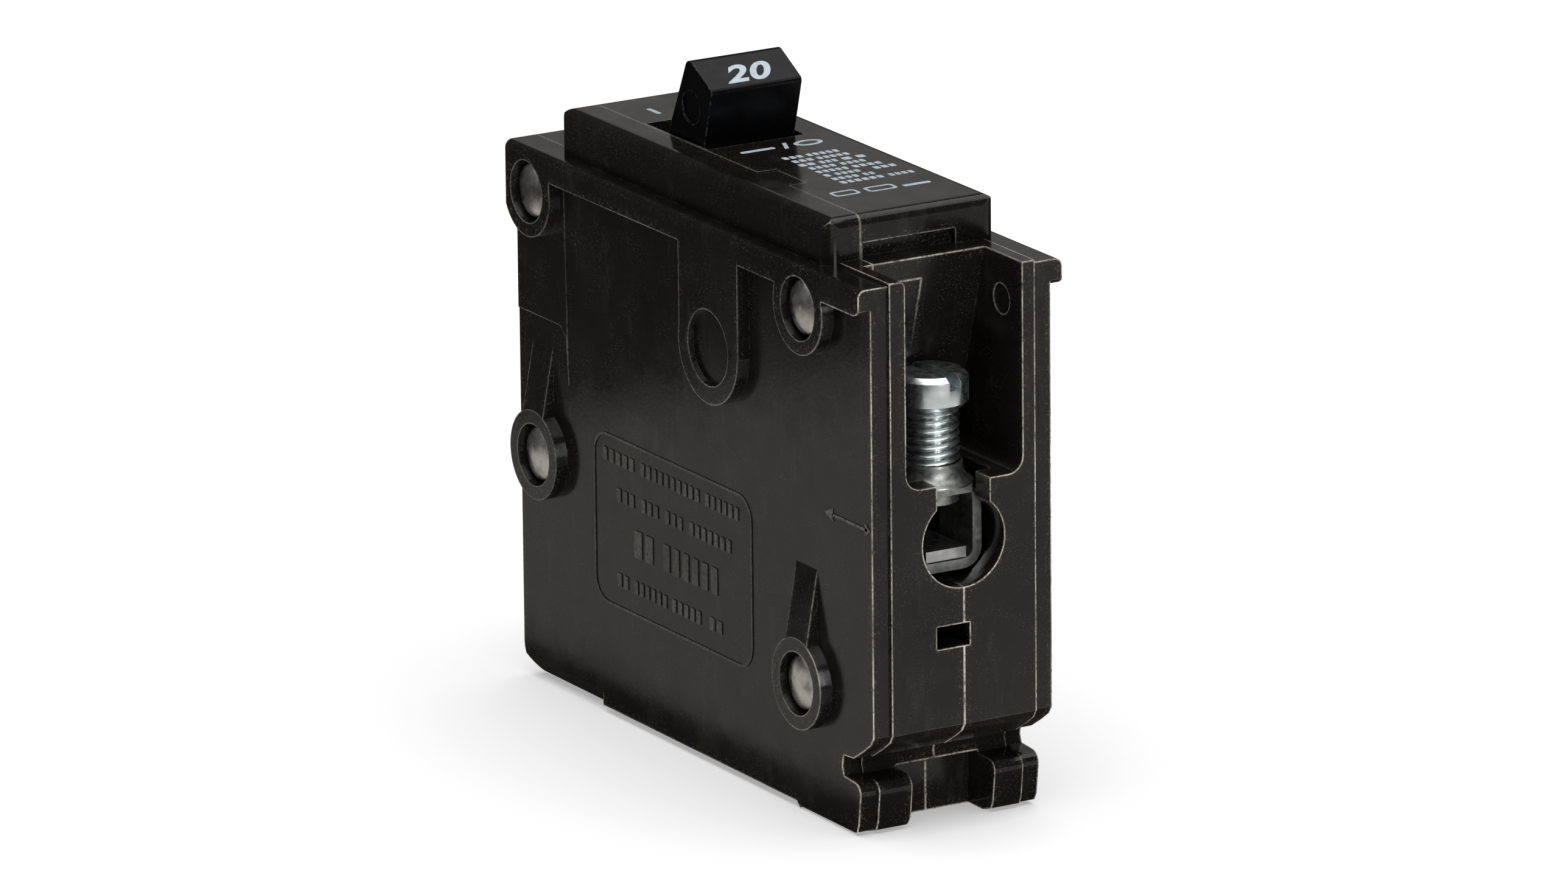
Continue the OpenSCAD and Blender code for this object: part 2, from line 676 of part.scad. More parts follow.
module shunt_braid() {
    from = [16.6, 2, 49.2];
    to = [-12.3, 4.8, 37.5];
    color([0.72, 0.42, 0.22]) wire([for (i = [0:24]) let (f = i / 24, sag = sin(180 * f))
        [from.x + (to.x - from.x) * f, from.y + (to.y - from.y) * f + 1.9 * sag,
         from.z + (to.z - from.z) * f + 3.5 * sag]], 0.9, 8);
}

// ---------- line side ----------

module line_strap() {
    n = [-cos(arm_on), sin(arm_on)];
    down = [-sin(arm_on), -cos(arm_on)];
    off = web_face + 2 * contact_t + 0.05 + strap_t / 2;
    top = arm_pivot_on + off * n + 16.5 * down;
    bend = arm_pivot_on + off * n + 27.7 * down;
    color([0.75, 0.47, 0.28]) {
        slab(-3.5, 3.5) bent_strip([top, bend, [bend.x, 17.6]], strap_t);
        block([jaw_x0, -4, 17], [jaw_x1, 4, 18.2]);
    }
}

module fixed_contact() {
    n = [-cos(arm_on), sin(arm_on)];
    down = [-sin(arm_on), -cos(arm_on)];
    c = arm_pivot_on + (web_face + contact_t + 0.05) * n + contact_along * down;
    color([0.85, 0.84, 0.8]) translate([c.x, 0, c.y]) rotate([0, -90 + arm_on, 0])
        cylinder(r = 2.4, h = contact_t);
}

// Half of the jaw's section: shoulder, grip and flared mouth
module jaw_half(offset_y, t) {
    bent_strip([[0.4, 16.5], [3 + offset_y, 16.5], [3 + offset_y, 12.5], [1.5 + offset_y, 6.4],
                [2.3 + offset_y, 3.6]], t);
}

module line_jaw() {
    color([0.72, 0.45, 0.25]) for (s = [0, 1]) mirror([0, s, 0]) {
        run_x(jaw_x0, jaw_x1) jaw_half(0, 0.9);
        block([jaw_x0, 0, 16.05], [jaw_x1, 1, 16.95]);
    }
}

module jaw_spring() {
    color([0.6, 0.6, 0.62]) for (s = [0, 1]) mirror([0, s, 0]) run_x(jaw_x0 + 2, jaw_x1 - 2)
        bent_strip([[3.75, 15.2], [3.75, 12.6], [2.3, 6.6], [2.7, 5.2]], 0.5);
}

module arc_plates() {
    color([0.55, 0.55, 0.56]) for (z = [20.4, 22.6, 24.8, 27]) difference() {
        block([-23.4, -6, z], [-9, 6, z + 1]);
        block([-21.4, -2, z - 1], [-14, 2, z + 2]);
    }
}

module arc_chute_sides() {
    color([0.7, 0.62, 0.5]) for (s = [-1, 1]) scale([1, s, 1])
        block([-24, 6.05, 19.6], [-8.4, 6.85, 28.6]);
}

module vent_baffle() {
    color([0.7, 0.62, 0.5]) block([-35.4, -8.6, 31.2], [-34.6, 8.6, 52.2]);
}

base();
cover();
case_rivets();
handle();
contact_arm();
moving_contact();
trip_cradle();
cradle_pin();
operating_spring();
bimetal();
magnet_yoke();
armature();
armature_pin();
armature_spring();
calibration_screw();
load_strap();
lug_collar();
terminal_screw();
pressure_pad();
shunt_braid();
line_strap();
line_jaw();
jaw_spring();
fixed_contact();
arc_plates();
arc_chute_sides();
vent_baffle();
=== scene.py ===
"""Looks of a single-pole plug-on circuit breaker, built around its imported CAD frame."""

import json
import math

import bmesh
import bpy
from mathutils import Matrix, Vector


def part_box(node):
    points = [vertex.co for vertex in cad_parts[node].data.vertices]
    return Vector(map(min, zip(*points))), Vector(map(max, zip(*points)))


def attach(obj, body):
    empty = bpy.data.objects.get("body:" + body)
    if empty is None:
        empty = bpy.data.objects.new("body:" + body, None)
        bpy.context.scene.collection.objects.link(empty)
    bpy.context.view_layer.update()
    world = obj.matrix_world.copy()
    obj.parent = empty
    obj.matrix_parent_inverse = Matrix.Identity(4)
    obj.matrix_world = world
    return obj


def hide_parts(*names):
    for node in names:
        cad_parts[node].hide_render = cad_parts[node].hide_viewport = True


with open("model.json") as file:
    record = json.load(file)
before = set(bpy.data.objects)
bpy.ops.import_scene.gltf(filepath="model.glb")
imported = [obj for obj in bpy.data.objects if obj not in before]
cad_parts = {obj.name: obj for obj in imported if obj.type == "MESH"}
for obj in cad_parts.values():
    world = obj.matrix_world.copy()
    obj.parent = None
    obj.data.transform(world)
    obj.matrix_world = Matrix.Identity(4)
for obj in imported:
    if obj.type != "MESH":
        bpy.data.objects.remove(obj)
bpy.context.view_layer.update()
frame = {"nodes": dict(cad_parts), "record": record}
NODES = frame["nodes"]
MM = 0.001


# ---------- stage: camera, lights, floor ----------

CAMERA_PLACE = (1.24305, -0.7346, 0.44715)
CAMERA_RIGHT = (0.51121, 0.85940, -0.00953)
CAMERA_UP = (-0.23163, 0.14845, 0.96141)
CAMERA_LENS_MM = 316.77
STAGE_RADIUS = 9.0  # metres


def make_camera():
    """The camera stands where the photograph was taken from, 1.5 m away with a long lens."""
    data = bpy.data.cameras.new("camera")
    data.lens = CAMERA_LENS_MM
    data.sensor_width = 36
    data.clip_start = 0.05
    data.clip_end = 50
    camera = bpy.data.objects.new("camera", data)
    bpy.context.scene.collection.objects.link(camera)
    right, up = Vector(CAMERA_RIGHT).normalized(), Vector(CAMERA_UP)
    back = right.cross(up).normalized()
    up = back.cross(right)
    turn = Matrix((right, up, back)).transposed().to_4x4()
    camera.matrix_world = Matrix.Translation(CAMERA_PLACE) @ turn
    bpy.context.scene.camera = camera


def area_light(name, place, aim, size, power, colour=(1, 1, 1)):
    """A rectangular soft box at a place, aimed at a point."""
    data = bpy.data.lights.new(name, "AREA")
    data.shape = "RECTANGLE"
    data.size, data.size_y = size
    data.energy = power
    data.color = colour
    light = bpy.data.objects.new(name, data)
    bpy.context.scene.collection.objects.link(light)
    light.location = place
    light.rotation_euler = (Vector(aim) - Vector(place)).to_track_quat("-Z", "Y").to_euler()
    return light


def disc(name, radius, segments=96):
    mesh = bpy.data.meshes.new(name)
    bm = bmesh.new()
    bmesh.ops.create_circle(bm, cap_ends=True, segments=segments, radius=radius)
    bm.to_mesh(mesh)
    bm.free()
    obj = bpy.data.objects.new(name, mesh)
    bpy.context.scene.collection.objects.link(obj)
    return obj


def make_stage():
    """A pale floor. It doesn't show in reflections, so the black plastic stays black."""
    floor = disc("floor", STAGE_RADIUS)
    floor.data.materials.append(floor_material())
    floor.visible_glossy = False
    return floor


def floor_material():
    """White seamless paper, faintly lit through from below."""
    mat, tree, shader = new_material("pale_floor")
    grain = noise(tree, 40, 3)
    tone = ramp(tree, grain, (0.3, (0.90, 0.90, 0.90)), (0.7, (0.93, 0.93, 0.93)))
    set_input(tree, shader, "Base Color", tone)
    set_input(tree, shader, "Emission Color", tone)
    shader.inputs["Emission Strength"].default_value = 0.42
    shader.inputs["Roughness"].default_value = 0.9
    shader.inputs["Specular IOR Level"].default_value = 0.1
    return mat


def make_world():
    """Dim surroundings that the plastic reflects: greyer below the horizon, dark above it."""
    world = bpy.data.worlds.new("studio")
    bpy.context.scene.world = world
    world.use_nodes = True
    tree = world.node_tree
    tree.nodes.clear()
    coords = tree.nodes.new("ShaderNodeTexCoord")
    split = tree.nodes.new("ShaderNodeSeparateXYZ")
    tree.links.new(coords.outputs["Generated"], split.inputs[0])
    below = (0.03, 0.029, 0.028)
    horizon = (0.06, 0.06, 0.06)
    above = (0.03, 0.03, 0.03)
    overhead = (0.12, 0.12, 0.125)
    tone = ramp(tree, span(tree, split.outputs["Z"], -1, 1), (0.0, below), (0.35, below), (0.5, horizon),
                (0.6, above), (1.0, overhead))
    back = tree.nodes.new("ShaderNodeBackground")
    tree.links.new(tone, back.inputs["Color"])
    out = tree.nodes.new("ShaderNodeOutputWorld")
    tree.links.new(back.outputs[0], out.inputs["Surface"])


def keep_off(light, *objects):
    """The light falls on everything but these objects."""
    skipped = bpy.data.collections.new(light.name + "_skips")
    for obj in objects:
        skipped.objects.link(obj)
    light.light_linking.receiver_collection = skipped
    for entry in skipped.collection_objects:
        entry.light_linking.link_state = "EXCLUDE"


def soft_box(name, place, aim, size, brightness, colour=(1, 1, 1)):
    """An area light given by how bright its face looks, which is what glossy surfaces show."""
    power = brightness * math.pi * size[0] * size[1]
    light = area_light(name, place, aim, size, power, colour)
    light.visible_camera = False
    return light


def make_lights(floor):
    """A low soft box behind the line end, a soft fill, a box over the load end, and two panels that
    stand for the white paper around the object, since the floor itself doesn't show in reflections."""
    middle = (0, 0, 0.035)
    floor.visible_shadow = False
    boxes = (
        soft_box("key_back_left", (-1.05, 0.66, 0.46), middle, (0.42, 0.36), 0.28, (1, 0.985, 0.96)),
        soft_box("fill_side", (-0.60, -1.10, 0.40), middle, (0.9, 0.5), 0.7),
        soft_box("end_box", (1.25, 0.00, 0.46), middle, (0.30, 0.75), 9, (0.99, 1, 1)),
        soft_box("paper_by_side", (-0.06, -0.09, -0.004), (-0.06, -0.09, 1), (0.16, 0.13), 0.44,
                 (1, 0.96, 0.89)),
        soft_box("paper_by_end", (0.22, 0.06, -0.004), (0.22, 0.06, 1), (0.34, 0.42), 0.62, (1, 0.98, 0.94)),
    )
    for box in boxes:
        keep_off(box, floor)
    area_light("floor_wash", (0.2, 0.0, 2.2), (0, 0, 0), (3, 3), 55)


# ---------- node helpers ----------

def new_material(name):
    mat = bpy.data.materials.new(name)
    mat.use_nodes = True
    tree = mat.node_tree
    return mat, tree, tree.nodes["Principled BSDF"]


def set_input(tree, shader, socket, output):
    tree.links.new(output, shader.inputs[socket])


def object_coords(tree):
    for node in tree.nodes:
        if node.type == "TEX_COORD":
            return node.outputs["Object"]
    return tree.nodes.new("ShaderNodeTexCoord").outputs["Object"]


def noise(tree, scale_per_mm, detail=4, roughness=0.6, stretch=None):
    """Noise in the object's own coordinates; its scale is in cells per millimetre."""
    texture = tree.nodes.new("ShaderNodeTexNoise")
    texture.inputs["Scale"].default_value = scale_per_mm * 1000
    texture.inputs["Detail"].default_value = detail
    texture.inputs["Roughness"].default_value = roughness
    coords = object_coords(tree)
    if stretch:
        mapping = tree.nodes.new("ShaderNodeMapping")
        mapping.inputs["Scale"].default_value = stretch
        tree.links.new(coords, mapping.inputs["Vector"])
        coords = mapping.outputs["Vector"]
    tree.links.new(coords, texture.inputs["Vector"])
    return texture.outputs["Fac"]


def specks(tree, scale_per_mm, size):
    """Small round specks, 1 inside and 0 outside, one in each cell."""
    cells = tree.nodes.new("ShaderNodeTexVoronoi")
    cells.inputs["Scale"].default_value = scale_per_mm * 1000
    tree.links.new(object_coords(tree), cells.inputs["Vector"])
    return span(tree, cells.outputs["Distance"], size, size * 0.5)


def span(tree, value, low, high, to_low=0.0, to_high=1.0):
    """Maps a value from low..high to a new range, clamped."""
    node = tree.nodes.new("ShaderNodeMapRange")
    node.inputs["From Min"].default_value = low
    node.inputs["From Max"].default_value = high
    node.inputs["To Min"].default_value = to_low
    node.inputs["To Max"].default_value = to_high
    tree.links.new(value, node.inputs["Value"])
    return node.outputs[0]


def combine(tree, how, a, b):
    """A math node on two values, either of which may be a plain number."""
    node = tree.nodes.new("ShaderNodeMath")
    node.operation = how
    node.use_clamp = True
    for socket, value in zip(node.inputs, (a, b)):
        if isinstance(value, (int, float)):
            socket.default_value = value
        else:
            tree.links.new(value, socket)
    return node.outputs[0]


def ramp(tree, value, *stops):
    """A colour ramp through (position, (r, g, b)) stops."""
    node = tree.nodes.new("ShaderNodeValToRGB")
    elements = node.color_ramp.elements
    while len(elements) > 1:
        elements.remove(elements[-1])
    elements[0].position, elements[0].color = stops[0][0], (*stops[0][1], 1)
    for position, colour in stops[1:]:
        elements.new(position).color = (*colour, 1)
    tree.links.new(value, node.inputs["Fac"])
    return node.outputs["Color"]


def mix_colour(tree, factor, a, b):
    node = tree.nodes.new("ShaderNodeMix")
    node.data_type = "RGBA"
    tree.links.new(factor, node.inputs[0])
    for index, colour in ((6, a), (7, b)):
        if isinstance(colour, tuple):
            node.inputs[index].default_value = (*colour, 1)
        else:
            tree.links.new(colour, node.inputs[index])
    return node.outputs[2]


def edges(tree, reach_mm, uneven=0.13):
    """1 along the sharp edges of the piece, in a line of uneven width up to about half the reach."""
    inside = tree.nodes.new("ShaderNodeAmbientOcclusion")
    inside.inside = True
    inside.only_local = True
    inside.samples = 12
    inside.inputs["Distance"].default_value = reach_mm * MM
    wander = span(tree, noise(tree, 2.2, 5, 0.7), 0.3, 0.7, -uneven, uneven * 0.5)
    return span(tree, combine(tree, "ADD", inside.outputs["AO"], wander), 0.86, 0.66)


def exposed(tree, reach_mm):
    """1 on the open outside of the object, 0 deep inside its pockets."""
    shade = tree.nodes.new("ShaderNodeAmbientOcclusion")
    shade.samples = 8
    shade.inputs["Distance"].default_value = reach_mm * MM
    return span(tree, shade.outputs["AO"], 0.40, 0.66)


def toward_load_end(tree, far, near):
    """A value that rises over the last centimetre of the case before its load end."""
    split = tree.nodes.new("ShaderNodeSeparateXYZ")
    tree.links.new(object_coords(tree), split.inputs[0])
    return span(tree, split.outputs["X"], 22 * MM, 32 * MM, far, near)


def corner_dust(tree, reach_mm):
    """1 in the tightest inside corners, where pale dust settles, and 0 elsewhere."""
    shade = tree.nodes.new("ShaderNodeAmbientOcclusion")
    shade.only_local = True
    shade.samples = 12
    shade.inputs["Distance"].default_value = reach_mm * MM
    return span(tree, shade.outputs["AO"], 0.78, 0.5)


def hollows(tree, reach_mm):
    """1 in corners and recesses, 0 on open surfaces."""
    shade = tree.nodes.new("ShaderNodeAmbientOcclusion")
    shade.samples = 12
    shade.inputs["Distance"].default_value = reach_mm * MM
    return span(tree, shade.outputs["AO"], 0.8, 0.3)


def bump(tree, shader, height, distance_mm, strength=1.0):
    node = tree.nodes.new("ShaderNodeBump")
    node.inputs["Strength"].default_value = strength
    node.inputs["Distance"].default_value = distance_mm * MM
    tree.links.new(height, node.inputs["Height"])
    tree.links.new(node.outputs["Normal"], shader.inputs["Normal"])
    return node


# ---------- materials ----------

def moulded_case_material(name="moulded_case", wear=1.0):
    """Black-brown phenolic: cloudy, finely speckled, pale where the edges have rubbed."""
    mat, tree, shader = new_material(name)
    clouds = noise(tree, 0.06, 5)
    body = ramp(tree, clouds, (0.3, (0.0034, 0.0030, 0.0024)), (0.7, (0.0096, 0.0086, 0.0068)))
    smears = span(tree, noise(tree, 0.35, 5, 0.7, stretch=(1, 1, 0.25)), 0.56, 0.72)
    body = mix_colour(tree, combine(tree, "MULTIPLY", smears, 0.30), body, (0.040, 0.037, 0.031))
    patches = span(tree, noise(tree, 0.3, 2), 0.42, 0.6)
    for cells_per_mm, size, share, colour in (
            (4.5, 0.24, 0.60, (0.085, 0.072, 0.050)),
            (2.8, 0.15, 0.60, (0.14, 0.12, 0.085)),
            (1.5, 0.07, 0.55, (0.24, 0.19, 0.12))):
        speck = combine(tree, "MULTIPLY", specks(tree, cells_per_mm, size), patches)
        body = mix_colour(tree, combine(tree, "MULTIPLY", speck, share), body, colour)
    rubbed = combine(tree, "MULTIPLY", edges(tree, 1.5), span(tree, noise(tree, 3.5, 5, 0.8), 0.56, 0.68))
    body = mix_colour(tree, combine(tree, "MULTIPLY", rubbed, 0.6 * wear), body, (0.22, 0.19, 0.14))
    dust = combine(tree, "MULTIPLY", corner_dust(tree, 0.3), span(tree, noise(tree, 0.8, 4), 0.45, 0.68))
    body = mix_colour(tree, combine(tree, "MULTIPLY", dust, 0.22), body, (0.20, 0.175, 0.135))
    breaks = span(tree, noise(tree, 2.2, 5, 0.75), 0.40, 0.54, 0.15, 1.0)
    stretches = span(tree, noise(tree, 0.12, 3), 0.38, 0.60, 0.40, 1.0)
    worn = combine(tree, "MULTIPLY", edges(tree, 0.24), combine(tree, "MULTIPLY", breaks, stretches))
    worn = combine(tree, "MULTIPLY", worn, exposed(tree, 15))
    worn = combine(tree, "MULTIPLY", worn, toward_load_end(tree, 0.30, 1.0))
    body = mix_colour(tree, combine(tree, "MULTIPLY", worn, wear), body, (0.70, 0.66, 0.57))
    set_input(tree, shader, "Base Color", body)
    set_input(tree, shader, "Roughness", span(tree, noise(tree, 0.25, 5), 0.3, 0.7, 0.11, 0.23))
    shader.inputs["Specular IOR Level"].default_value = 0.34
    bump(tree, shader, noise(tree, 1.6, 4), 0.02, 0.4)
    return mat


def handle_material():
    """Glossy black moulded plastic with fine scratches."""
    mat, tree, shader = new_material("glossy_handle")
    clouds = noise(tree, 0.1, 3)
    body = ramp(tree, clouds, (0.3, (0.0010, 0.0010, 0.0013)), (0.7, (0.0020, 0.0020, 0.0028)))
    worn = combine(tree, "MULTIPLY", edges(tree, 0.2), span(tree, noise(tree, 1.5, 3), 0.45, 0.65))
    body = mix_colour(tree, combine(tree, "MULTIPLY", worn, 0.45), body, (0.20, 0.20, 0.22))
    scratches = span(tree, noise(tree, 1.2, 3, 0.7, stretch=(1, 6, 1)), 0.66, 0.74)
    body = mix_colour(tree, combine(tree, "MULTIPLY", scratches, 0.2), body, (0.06, 0.06, 0.075))
    set_input(tree, shader, "Base Color", body)
    set_input(tree, shader, "Roughness", span(tree, noise(tree, 0.5, 5), 0.3, 0.7, 0.24, 0.34))
    shader.inputs["Specular IOR Level"].default_value = 0.2
    bump(tree, shader, noise(tree, 0.5, 3), 0.01, 0.3)
    return mat


def metal_material(name, light, dark, roughness, grain_per_mm=0.8, stretch=None, stain=None, bump_mm=0.004):
    """A bare or plated metal: mottled colour, varied roughness, painted shade in the corners."""
    mat, tree, shader = new_material(name)
    shader.inputs["Metallic"].default_value = 1.0
    grain = noise(tree, grain_per_mm, 5, stretch=stretch)
    body = ramp(tree, grain, (0.3, dark), (0.7, light))
    if stain:
        body = mix_colour(tree, span(tree, noise(tree, 0.5, 3), 0.5, 0.68, 0.0, 0.7), body, stain)
    # painted shade: an ambient-occlusion mask darkens the base colour to near black in corners and recesses
    body = mix_colour(tree, combine(tree, "MULTIPLY", hollows(tree, 0.5), 0.7), body,
                      tuple(0.18 * c for c in dark))
    set_input(tree, shader, "Base Color", body)
    low, high = roughness
    set_input(tree, shader, "Roughness", span(tree, noise(tree, grain_per_mm * 1.7, 4), 0.3, 0.7, low, high))
    bump(tree, shader, grain, bump_mm, 0.6)
    return mat


def fibre_material():
    """Vulcanised fibre sheet: brown, matt, with a fine lengthwise grain."""
    mat, tree, shader = new_material("fibre_sheet")
    grain = noise(tree, 0.8, 5, stretch=(1, 1, 0.2))
    tone = ramp(tree, grain, (0.3, (0.16, 0.11, 0.07)), (0.7, (0.25, 0.18, 0.11)))
    set_input(tree, shader, "Base Color", tone)
    set_input(tree, shader, "Roughness", span(tree, grain, 0.3, 0.7, 0.6, 0.8))
    bump(tree, shader, grain, 0.01, 0.4)
    return mat


def print_material():
    """Pale printed ink, thin and a little patchy."""
    mat, tree, shader = new_material("pale_print")
    patches = noise(tree, 2.2, 4)
    tone = ramp(tree, patches, (0.3, (0.30, 0.35, 0.40)), (0.55, (0.52, 0.60, 0.66)))
    set_input(tree, shader, "Base Color", tone)
    set_input(tree, shader, "Roughness", span(tree, patches, 0.3, 0.7, 0.5, 0.7))
    bump(tree, shader, patches, 0.004, 0.3)
    return mat


def numeral_material():
    """Pale blue-grey paint of the rating number."""
    mat, tree, shader = new_material("white_numeral")
    patches = noise(tree, 1.5, 4)
    tone = ramp(tree, patches, (0.3, (0.44, 0.51, 0.58)), (0.6, (0.56, 0.63, 0.70)))
    set_input(tree, shader, "Base Color", tone)
    set_input(tree, shader, "Roughness", span(tree, patches, 0.3, 0.7, 0.4, 0.55))
    bump(tree, shader, patches, 0.004, 0.3)
    return mat


MATERIALS = {
    "case": moulded_case_material(),
    "relief": moulded_case_material("moulded_relief", 0.28),
    "handle": handle_material(),
    "rivet_steel": metal_material("rivet_steel", (0.80, 0.79, 0.76), (0.58, 0.56, 0.53), (0.22, 0.36), 0.7,
                                  stain=(0.22, 0.20, 0.18)),
    "plated_steel": metal_material("plated_steel", (0.68, 0.69, 0.70), (0.5, 0.5, 0.51), (0.25, 0.4)),
    "spring_steel": metal_material("spring_steel", (0.6, 0.61, 0.62), (0.42, 0.43, 0.44), (0.25, 0.38)),
    "magnet_iron": metal_material("magnet_iron", (0.30, 0.30, 0.31), (0.18, 0.18, 0.19), (0.42, 0.6)),
    "bimetal": metal_material("bimetal", (0.66, 0.58, 0.44), (0.5, 0.43, 0.32), (0.3, 0.45),
                              stretch=(3, 1, 0.2)),
    "copper": metal_material("copper", (0.80, 0.45, 0.27), (0.62, 0.32, 0.18), (0.28, 0.45),
                             stain=(0.32, 0.16, 0.09)),
    "contact_silver": metal_material("contact_silver", (0.85, 0.84, 0.8), (0.7, 0.69, 0.66), (0.22, 0.35)),
    "tinned_strap": metal_material("tinned_strap", (0.66, 0.66, 0.66), (0.45, 0.45, 0.45), (0.25, 0.4),
                                   stretch=(0.2, 1, 1)),
    "dull_zinc": metal_material("dull_zinc", (0.46, 0.47, 0.44), (0.26, 0.27, 0.25), (0.32, 0.5), 1.2,
                                stain=(0.2, 0.21, 0.2)),
    "bright_zinc": metal_material("bright_zinc", (0.90, 0.94, 0.93), (0.64, 0.73, 0.74), (0.20, 0.38), 0.6),
    "fibre": fibre_material(),
    "print": print_material(),
    "numeral": numeral_material(),
}


# ---------- CAD nodes: materials and rounded edges ----------

SLOT_OF = {part["node"]: part["material_slot"] for part in frame["record"]["subparts"]}
ROUNDING_MM = {"base": 0.16, "cover": 0.16, "handle": 0.35, "lug_collar": 0.12, "case_rivets": 0.08}


def round_edges(obj, width_mm):
    """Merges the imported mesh's split corners, joins its flat faces and rounds its sharp edges."""
    weld = obj.modifiers.new("weld", "WELD")
    weld.merge_threshold = 1e-6
    flat = obj.modifiers.new("flat_faces", "DECIMATE")
    flat.decimate_type = "DISSOLVE"
    flat.angle_limit = math.radians(0.5)
    edge = obj.modifiers.new("edge_rounding", "BEVEL")
    edge.width = width_mm * MM
    edge.segments = 2
    edge.limit_method = "ANGLE"
    edge.angle_limit = math.radians(28)
    edge.use_clamp_overlap = True
    edge.harden_normals = False


def dress_cad_nodes():
    for name, obj in NODES.items():
        obj.data.materials.clear()
        obj.data.materials.append(MATERIALS[SLOT_OF[name]])
        if name in ROUNDING_MM:
            round_edges(obj, ROUNDING_MM[name])


# ---------- mesh helpers ----------

def finished_mesh(obj):
    """The object's mesh with its modifiers applied."""
    graph = bpy.context.evaluated_depsgraph_get()
    return bpy.data.meshes.new_from_object(obj.evaluated_get(graph))


def add_piece(name, mesh, material, body, smooth_angle=35):
    """A new piece of the object, riding on a body."""
    obj = bpy.data.objects.new(name, mesh)
    bpy.context.scene.collection.objects.link(obj)
    mesh.materials.clear()
    mesh.materials.append(MATERIALS[material])
    mesh.shade_smooth()
    mesh.set_sharp_from_angle(angle=math.radians(smooth_angle))
    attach(obj, body)
    return obj


def revolve(bm, profile, centre, around=96):
    """A closed solid of revolution about Z through centre. The profile runs from axis to axis."""
    rings = []
    for radius, z in profile:
        if radius == 0:
            rings.append([bm.verts.new((centre.x, centre.y, z))])
            continue
        turn = [2 * math.pi * i / around for i in range(around)]
        rings.append([bm.verts.new((centre.x + radius * math.cos(a), centre.y + radius * math.sin(a), z))
                      for a in turn])
    for low, high in zip(rings, rings[1:]):
        for i in range(around):
            corners = [low[i % len(low)], low[(i + 1) % around % len(low)],
                       high[(i + 1) % around % len(high)], high[i % len(high)]]
            bm.faces.new(list(dict.fromkeys(corners)))


def prism(bm, outline, place, across, up, depth):
    """A closed plate: the outline's (u, v) points laid along two directions, and given depth."""
    out = across.cross(up).normalized()
    bottom = [bm.verts.new(place + u * across + v * up) for u, v in outline]
    top = [bm.verts.new(v.co + depth * out) for v in bottom]
    count = len(outline)
    bm.faces.new(bottom[::-1])
    bm.faces.new(top)
    for i in range(count):
        j = (i + 1) % count
        bm.faces.new((bottom[i], bottom[j], top[j], top[i]))


def ring_prism(bm, outer, inner, place, across, up, depth):
    """A closed flat ring between two outlines with the same number of points."""
    out = across.cross(up).normalized()
    layers = [[bm.verts.new(place + u * across + v * up + d * out) for u, v in outline]
              for outline in (outer, inner) for d in (0, depth)]
    outer_low, outer_high, inner_low, inner_high = layers
    count = len(outer)
    for i in range(count):
        j = (i + 1) % count
        bm.faces.new((outer_low[i], outer_low[j], outer_high[j], outer_high[i]))
        bm.faces.new((inner_high[i], inner_high[j], inner_low[j], inner_low[i]))
        bm.faces.new((outer_high[i], outer_high[j], inner_high[j], inner_high[i]))
        bm.faces.new((outer_low[j], outer_low[i], inner_low[i], inner_low[j]))


def rounded_box(u0, v0, u1, v1, radius, steps=4):
    """Outline of a rectangle with round corners."""
    points = []
    for (cx, cy), start in (((u1 - radius, v1 - radius), 0), ((u0 + radius, v1 - radius), 90),
                            ((u0 + radius, v0 + radius), 180), ((u1 - radius, v0 + radius), 270)):
        for k in range(steps + 1):
            a = math.radians(start + 90 * k / steps)
            points.append((cx + radius * math.cos(a), cy + radius * math.sin(a)))
    return points


def dashes(start, end, pitch, gap):
    """Short bars of equal length that fill a stretch, in place of the letters of a word."""
    count = max(1, round((end - start) / pitch))
    step = (end - start + gap) / count
    return [(start + k * step, start + (k + 1) * step - gap) for k in range(count)]


def ellipse(u, v, ru, rv, count=48):
    return [(u + ru * math.cos(2 * math.pi * k / count), v + rv * math.sin(2 * math.pi * k / count))
            for k in range(count)]


def mesh_of(bm, name):
    bmesh.ops.recalc_face_normals(bm, faces=bm.faces)
    mesh = bpy.data.meshes.new(name)
    bm.to_mesh(mesh)
    bm.free()
    return mesh


# ---------- terminal screw: slotted flat head and a helical thread ----------

THREAD_PITCH = 0.907 * MM  # 28 threads to the inch
THREAD_DEPTH = 0.5 * MM
SLOT_TURN = math.radians(10)
HEAD_HEIGHT = 3.77 * MM  # from the neck to the middle of the flat top
RIM_DROP = 0.67 * MM  # the rim lies this far under the top
SLOT_DROP = 1.57 * MM  # and the floor of the slot this far
SLOT_HALF_WIDTH = 0.75 * MM
POINT_HEIGHT = 1.5 * MM  # the plain point below the thread
THREAD_RADIUS = 3.17 * MM


def thread_radius(z, angle, bottom, top, major):
    """Radius of the thread's surface, fading to the root at both ends."""
    phase = (z / THREAD_PITCH - angle / (2 * math.pi)) % 1.0
    crest = (0.5 + 0.5 * math.cos(2 * math.pi * phase)) ** 0.8
    fade = min(1.0, (z - bottom) / THREAD_PITCH, (top - z) / (0.8 * THREAD_PITCH))
    return major - THREAD_DEPTH * (1 - crest * max(fade, 0.0))


def add_thread(bm, centre, bottom, top, major, around=72, rows_per_turn=12):
    rows = round((top - bottom) / THREAD_PITCH * rows_per_turn)
    rings = []
    for row in range(rows + 1):
        z = bottom + (top - bottom) * row / rows
        ring = []
        for i in range(around):
            a = 2 * math.pi * i / around
            r = thread_radius(z, a, bottom, top, major)
            ring.append(bm.verts.new((centre.x + r * math.cos(a), centre.y + r * math.sin(a), z)))
        rings.append(ring)
    for low, high in zip(rings, rings[1:]):
        for i in range(around):
            j = (i + 1) % around
            bm.faces.new((low[i], low[j], high[j], high[i]))
    bm.faces.new(rings[0][::-1])
    bm.faces.new(rings[-1])


